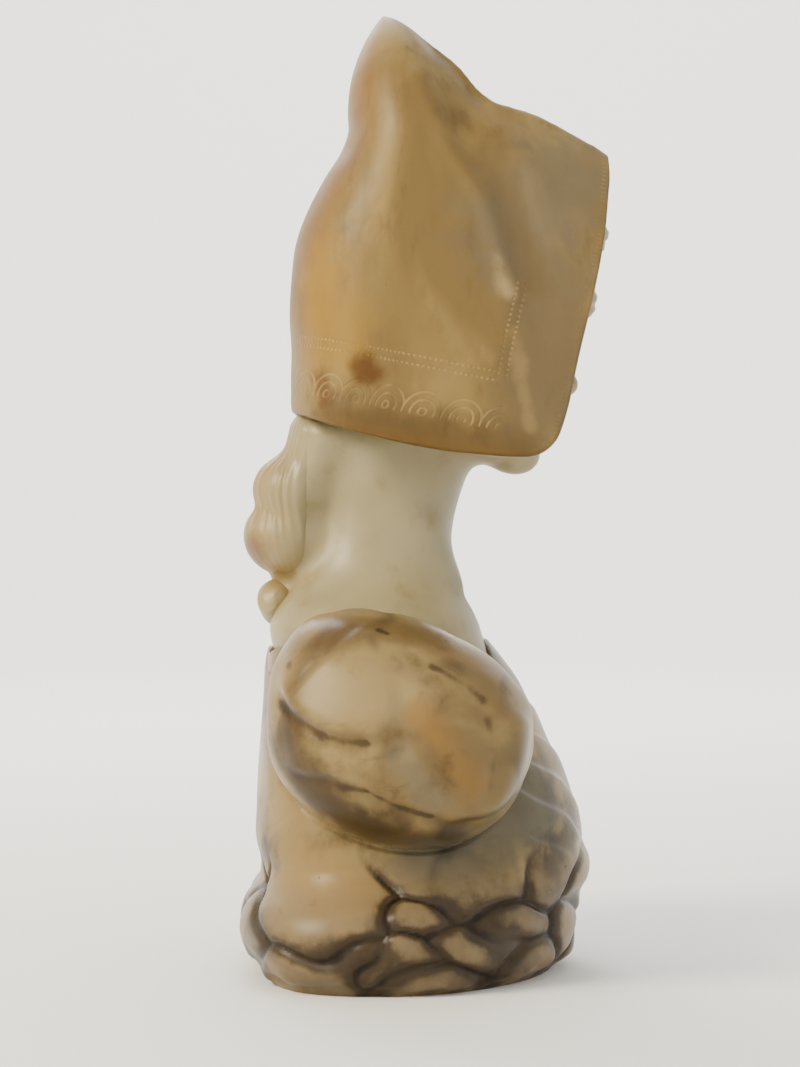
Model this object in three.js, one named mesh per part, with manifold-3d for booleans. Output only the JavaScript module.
// Composite stone bust: a head in a pointed bonnet on a bodice with puffed sleeves.
// Three carved blocks, cemented together and pinned with iron. Millimetres, +Z up.
// The figure looks towards -Y. The origin is the centre of the resting face, z = 0.
import * as THREE from 'three';
import { ParametricGeometry } from 'three/addons/geometries/ParametricGeometry.js';
import { mergeVertices } from 'three/addons/utils/BufferGeometryUtils.js';
import Module from 'manifold-3d';

const wasm = await Module();
wasm.setup();

// Driving dimensions
const CLEARANCE = 0.3;
const ROUNDING = 1e-9;
const HEAD_TILT = THREE.MathUtils.degToRad(11);
const HEAD_PIVOT_HEIGHT = 208;
const RING_SIDES = 36;

const DOWEL_AHEAD = -8;
const DOWEL_RADIUS = 5;
const DOWEL_FOOT = 60;
const DOWEL_TOP = 150;
const DOWEL_HOLE_RADIUS = 8;
const SOCKET_FLOOR = 96;
const BEDDING_THICKNESS = 1.4;
const CHEST_FLOOR = SOCKET_FLOOR + BEDDING_THICKNESS + 2 * CLEARANCE;

const PIN_RADIUS = 2;
const PIN_FOOT = 92;
const PIN_TOP = 132;
const CROWN_HEIGHT = 113;
const BONNET_CEILING = 121;
const BONNET_BED_RADIUS = 17;

const BASE_FRONT = 56;
const BASE_BACK = -56;
const BASE_HALF_WIDTH = 84;

const SLEEVE = { aside: 73, ahead: -4, height: 99, radii: [41, 51, 46] };

// A ring is [height, back, front, half width]. Back and front are measured from the
// axis along the way the figure looks, so front is positive towards -Y.
const TORSO_RINGS = [
  [-4, BASE_BACK, BASE_FRONT, BASE_HALF_WIDTH],
  [0, BASE_BACK, BASE_FRONT, BASE_HALF_WIDTH],
  [5, -61, 62, 90],
  [14, -65.5, 66, 94],
  [23, -66.5, 68, 94],
  [30, -64, 67.5, 90],
  [36, -59.5, 70.5, 85],
  [43, -58, 71.5, 80],
  [52, -61, 69.5, 79],
  [66, -61, 66.5, 80],
  [80, -60.5, 61, 79],
  [94, -59.5, 54, 76],
  [108, -58.5, 47, 71],
  [120, -58, 39.5, 62],
  [130, -57, 32, 52],
  [138, -53, 27.5, 44],
  [143, -46, 22, 34],
];

const CHEST_RINGS = [
  [CHEST_FLOOR, -38, 30, 38],
  [110, -45, 33, 41],
  [122, -51, 34, 44],
  [131, -54, 29.5, 45.5],
  [138, -54.5, 27.5, 44.5],
  [144, -52, 24, 40],
  [150, -48, 21, 34.5],
  [158, -43, 18, 29],
  [168, -38.5, 16.7, 26],
  [178, -36, 18.5, 25],
  [188, -35, 24, 25.5],
  [200, -35, 30, 27],
  [214, -33, 30, 29],
  [226, -26, 24, 24],
];

// The head's own rings and balls stand upright, and the head is then tilted forward.
const FACE_RINGS = [
  [-6, 34, 45, 7],
  [-3, 22, 51, 13],
  [4, 8, 54, 19],
  [14, -4, 54.5, 25],
  [28, -12, 53.5, 30],
  [44, -15, 50.5, 33.5],
  [60, -15, 51.5, 35.5],
  [76, -15, 51, 35],
  [92, -12, 46.5, 30],
  [104, -8, 37, 21],
];

const NOSE_RINGS = [
  [29, 44, 58, 4],
  [31.5, 44, 62.5, 6.5],
  [35, 44, 63.5, 5.5],
  [46, 44, 57.5, 3.2],
  [58, 44, 52.5, 2.6],
];

const BONNET_RINGS = [
  [0, -46, 51, 47.5],
  [2.5, -48, 53.5, 49.5],
  [14, -51.5, 57.5, 50],
  [28, -54, 58.5, 50.5],
  [42, -57.5, 59, 51],
  [56, -59.5, 59.5, 51],
  [71, -60.5, 60, 50],
  [86, -58, 60, 48],
  [99, -54, 59.5, 45],
  [111, -49.5, 58.5, 40.5],
  [119, -48.5, 57.5, 36],
  [126, -50, 54.5, 31.5],
  [130, -51, 49, 29],
  [135, -51, 36.5, 26],
  [138.5, -51.3, 26, 24],
  [140.5, -51.3, 10, 22.5],
  [143.5, -51.2, 0.5, 21],
  [152, -49.8, -9.5, 16.5],
  [160, -47.5, -24, 10.5],
  [165.5, -45, -33.5, 5],
];

// The bonnet's hollow is open below and in front, so its front passes the bonnet's.
const HOLLOW_FRONT = 80;
const HOLLOW_RINGS = [
  [-8, -39, HOLLOW_FRONT, 41],
  [6, -41, HOLLOW_FRONT, 42.5],
  [24, -45.5, HOLLOW_FRONT, 43],
  [44, -50, HOLLOW_FRONT, 43],
  [70, -52.5, HOLLOW_FRONT, 42],
  [88, -49.5, HOLLOW_FRONT, 39.5],
  [102, -44.5, HOLLOW_FRONT, 35],
  [112, -38, HOLLOW_FRONT, 29],
  [118, -31, HOLLOW_FRONT, 23],
  [BONNET_CEILING, -24, HOLLOW_FRONT, 18],
];

// A ball is { aside, ahead, height, radii: [across, along, up] }.
const CRANIUM = { aside: 0, ahead: -1, height: 63, radii: [37, 49.5, 54] };
const FRONT_CURLS = [
  { aside: 14, ahead: 47, height: 91, radii: [11, 13, 7.5] },
  { aside: -14, ahead: 47, height: 91, radii: [11, 13, 7.5] },
  { aside: 26, ahead: 44, height: 64, radii: [9, 15, 9.5] },
  { aside: -26, ahead: 44, height: 64, radii: [9, 15, 9.5] },
];
const NAPE_HAIR = { aside: 0, ahead: -33, height: 200, radii: [27, 15, 14] };
const BUN_UPPER = { aside: 0, ahead: -47, height: 189, radii: [22, 15, 16] };
const BUN_LOWER = { aside: 0, ahead: -49, height: 172, radii: [21, 17.5, 17] };
const NAPE_CURL = { aside: -3, ahead: -52, height: 147, radii: [9, 9.5, 9] };

const STONE = {
  bonnet: new THREE.MeshStandardMaterial({ color: 0xb89a62, roughness: 0.42, metalness: 0 }),
  skin: new THREE.MeshStandardMaterial({ color: 0xd2c7ae, roughness: 0.45, metalness: 0 }),
  dress: new THREE.MeshStandardMaterial({ color: 0xa8977a, roughness: 0.35, metalness: 0 }),
};
const IRON = {
  dowel: new THREE.MeshStandardMaterial({ color: 0x5b5550, roughness: 0.7, metalness: 0.8 }),
  pin: new THREE.MeshStandardMaterial({ color: 0x5b5550, roughness: 0.7, metalness: 0.8 }),
};
const PLASTER = {
  upper: new THREE.MeshStandardMaterial({ color: 0xdcd8cc, roughness: 0.95, metalness: 0 }),
  lower: new THREE.MeshStandardMaterial({ color: 0xdcd8cc, roughness: 0.95, metalness: 0 }),
  neck: new THREE.MeshStandardMaterial({ color: 0xdcd8cc, roughness: 0.95, metalness: 0 }),
  bonnet: new THREE.MeshStandardMaterial({ color: 0xdcd8cc, roughness: 0.95, metalness: 0 }),
};

/** Raises a signed value to a power and keeps its sign; a rounding error counts as zero. */
function signedPower(value, power) {
  const size = Math.abs(value);
  return size < ROUNDING ? 0 : Math.sign(value) * size ** power;
}

/** Grows every ring outwards, so that a cutter leaves a clearance. */
function grown(rings, extra) {
  return rings.map(([height, back, front, halfWidth]) => (
    [height, back - extra, front + extra, halfWidth + extra]
  ));
}

/** Lofts a closed body through superellipse rings, with a flat cap at both ends. */
function loft(rings, { frontPower = 2, backPower = 2, widest = 0.5, sides = RING_SIDES } = {}) {
  const centreOf = ([height, back, front]) => {
    const middle = back + (front - back) * widest;
    return [height, middle, middle, 0];
  };
  const stack = [centreOf(rings[0]), ...rings, centreOf(rings[rings.length - 1])];
  const last = stack.length - 1;
  const place = (around, along, point) => {
    const [height, back, front, halfWidth] = stack[Math.round(along * last)];
    const middle = back + (front - back) * widest;
    const angle = 2 * Math.PI * around;
    const ahead = Math.cos(angle) > 0;
    const power = 2 / (ahead ? frontPower : backPower);
    const reach = ahead ? front - middle : middle - back;
    const forward = middle + reach * signedPower(Math.cos(angle), power);
    point.set(halfWidth * signedPower(Math.sin(angle), power), -forward, height);
  };
  return new ParametricGeometry(place, sides, last);
}

/** Makes an ellipsoid, with its poles up and down. */
function ball({ aside, ahead, height, radii }, extra = 0, sides = 20, stacks = 12) {
  const sphere = new THREE.SphereGeometry(1, sides, stacks);
  sphere.rotateX(Math.PI / 2);
  sphere.scale(radii[0] + extra, radii[1] + extra, radii[2] + extra);
  return sphere.translate(aside, -ahead, height);
}

/** Turns a closed geometry into a solid, without the flat triangles at its poles. */
function solid(geometry) {
  geometry.deleteAttribute('normal');
  geometry.deleteAttribute('uv');
  const merged = mergeVertices(geometry, 1e-4);
  const corners = merged.index.array;
  const kept = [];
  for (let start = 0; start < corners.length; start += 3) {
    const [a, b, c] = corners.slice(start, start + 3);
    if (a !== b && b !== c && c !== a) kept.push(a, b, c);
  }
  const mesh = new wasm.Mesh({
    numProp: 3,
    vertProperties: new Float32Array(merged.attributes.position.array),
    triVerts: new Uint32Array(kept),
  });
  return new wasm.Manifold(mesh);
}

/** Joins solids into one. */
function joined(solids) {
  return solids.reduce((whole, piece) => whole.add(piece));
}

/** Makes an upright round bar, or a sleeve when it has an inner radius. */
function bar({ radius, inner = 0, from, to, ahead = 0, sides = 24 }) {
  const outline = [[inner, from], [radius, from], [radius, to], [inner, to]];
  if (inner > 0) outline.push([inner, from]);
  const lathe = new THREE.LatheGeometry(outline.map(([r, h]) => new THREE.Vector2(r, h)), sides);
  lathe.rotateX(Math.PI / 2);
  return solid(lathe.translate(0, -ahead, 0));
}

/** Tilts an upright head piece forward about the pivot at the top of the neck. */
function tilted(upright) {
  const degrees = THREE.MathUtils.radToDeg(HEAD_TILT);
  return upright.rotate([degrees, 0, 0]).translate([0, 0, HEAD_PIVOT_HEIGHT]);
}

/** A block that holds everything below a height. */
function everythingBelow(height) {
  const size = 400;
  const box = new THREE.BoxGeometry(size, size, size);
  return solid(box.translate(0, 0, height - size / 2));
}

/** The head, neck and chest without their holes, grown by a clearance. */
function headBlock(extra) {
  const upright = joined([
    solid(ball(CRANIUM, extra, 26, 16)),
    solid(loft(grown(FACE_RINGS, extra), { frontPower: 2.2, widest: 0.3, sides: 24 })),
    solid(loft(grown(NOSE_RINGS, extra), { sides: 8 })),
    ...FRONT_CURLS.map((curl) => solid(ball(curl, extra, 10, 6))),
  ]);
  const crown = bar({ radius: 200, from: CROWN_HEIGHT + extra, to: 300, sides: 12 });
  const hair = [NAPE_HAIR, BUN_UPPER, BUN_LOWER].map((lock) => solid(ball(lock, extra, 16, 10)));
  return joined([
    tilted(upright.subtract(crown)),
    solid(loft(grown(CHEST_RINGS, extra), { frontPower: 2.1, backPower: 2.3, sides: 28 })),
    solid(ball(NAPE_CURL, extra, 10, 7)),
    ...hair,
  ]);
}

/** The hole for a round bar, with its clearance and mortar space. */
function dowelHole(from, to) {
  return bar({ radius: DOWEL_HOLE_RADIUS, from, to, ahead: DOWEL_AHEAD });
}

function buildHeadAndNeck() {
  const pinHole = tilted(bar({ radius: PIN_RADIUS + CLEARANCE, from: PIN_FOOT - 1, to: 140 }));
  return headBlock(0)
    .subtract(dowelHole(CHEST_FLOOR - 10, DOWEL_TOP + 1))
    .subtract(pinHole);
}

function buildBonnet() {
  const shell = solid(loft(BONNET_RINGS, { frontPower: 4.5, backPower: 2.2, widest: 0.55 }));
  const hollow = solid(loft(HOLLOW_RINGS, { frontPower: 12, backPower: 2.2, widest: 0.38, sides: 32 }));
  const pinHole = bar({ radius: PIN_RADIUS + CLEARANCE, from: 100, to: PIN_TOP + 1 });
  return tilted(shell.subtract(hollow).subtract(pinHole)).subtract(headBlock(CLEARANCE));
}

function buildBodice() {
  const torso = solid(loft(TORSO_RINGS, { frontPower: 1.8, backPower: 3, widest: 0.42 }));
  const sleeves = [1, -1].map((side) => (
    solid(ball({ ...SLEEVE, aside: side * SLEEVE.aside }, 0, 24, 15))
  ));
  const socket = headBlock(CLEARANCE);
  const bed = solid(loft(
    [[SOCKET_FLOOR, -38, 30, 38], [CHEST_FLOOR, -38, 30, 38]],
    { frontPower: 2.1, backPower: 2.3, sides: 28 },
  ));
  return joined([torso, ...sleeves])
    .subtract(everythingBelow(0))
    .subtract(socket)
    .subtract(bed)
    .subtract(dowelHole(DOWEL_FOOT - 1, SOCKET_FLOOR + 10));
}

function buildNeckBedding() {
  const from = SOCKET_FLOOR + CLEARANCE;
  const to = from + BEDDING_THICKNESS;
  const outline = [[from, -37, 29, 37], [to, -37, 29, 37]];
  const layer = solid(loft(outline, { frontPower: 2.1, backPower: 2.3, sides: 28 }));
  return layer.subtract(dowelHole(from - 5, to + 5));
}

function buildGrout(from, to) {
  return bar({
    radius: DOWEL_HOLE_RADIUS - CLEARANCE,
    inner: DOWEL_RADIUS + CLEARANCE,
    from,
    to,
    ahead: DOWEL_AHEAD,
  });
}

function buildBonnetBedding() {
  return tilted(bar({
    radius: BONNET_BED_RADIUS,
    inner: PIN_RADIUS + CLEARANCE,
    from: CROWN_HEIGHT + CLEARANCE,
    to: BONNET_CEILING - CLEARANCE,
  }));
}

/** Gives a solid its node name and material. */
function node(name, piece, material) {
  const { vertProperties, triVerts } = piece.getMesh();
  const geometry = new THREE.BufferGeometry();
  geometry.setAttribute('position', new THREE.BufferAttribute(vertProperties, 3));
  geometry.setIndex(new THREE.BufferAttribute(triVerts, 1));
  geometry.computeVertexNormals();
  const mesh = new THREE.Mesh(geometry, material);
  mesh.name = name;
  return mesh;
}

const dowel = bar({ radius: DOWEL_RADIUS, from: DOWEL_FOOT, to: DOWEL_TOP, ahead: DOWEL_AHEAD });
const pin = tilted(bar({ radius: PIN_RADIUS, from: PIN_FOOT, to: PIN_TOP, sides: 16 }));

const group = new THREE.Group();
group.add(
  node('bonnet', buildBonnet(), STONE.bonnet),
  node('head_and_neck', buildHeadAndNeck(), STONE.skin),
  node('bodice', buildBodice(), STONE.dress),
  node('neck_dowel', dowel, IRON.dowel),
  node('bonnet_pin', pin, IRON.pin),
  node('dowel_grout_upper', buildGrout(CHEST_FLOOR + 1, DOWEL_TOP - 1), PLASTER.upper),
  node('dowel_grout_lower', buildGrout(DOWEL_FOOT, SOCKET_FLOOR - 1), PLASTER.lower),
  node('neck_bedding', buildNeckBedding(), PLASTER.neck),
  node('bonnet_bedding', buildBonnetBedding(), PLASTER.bonnet),
);

export default group;
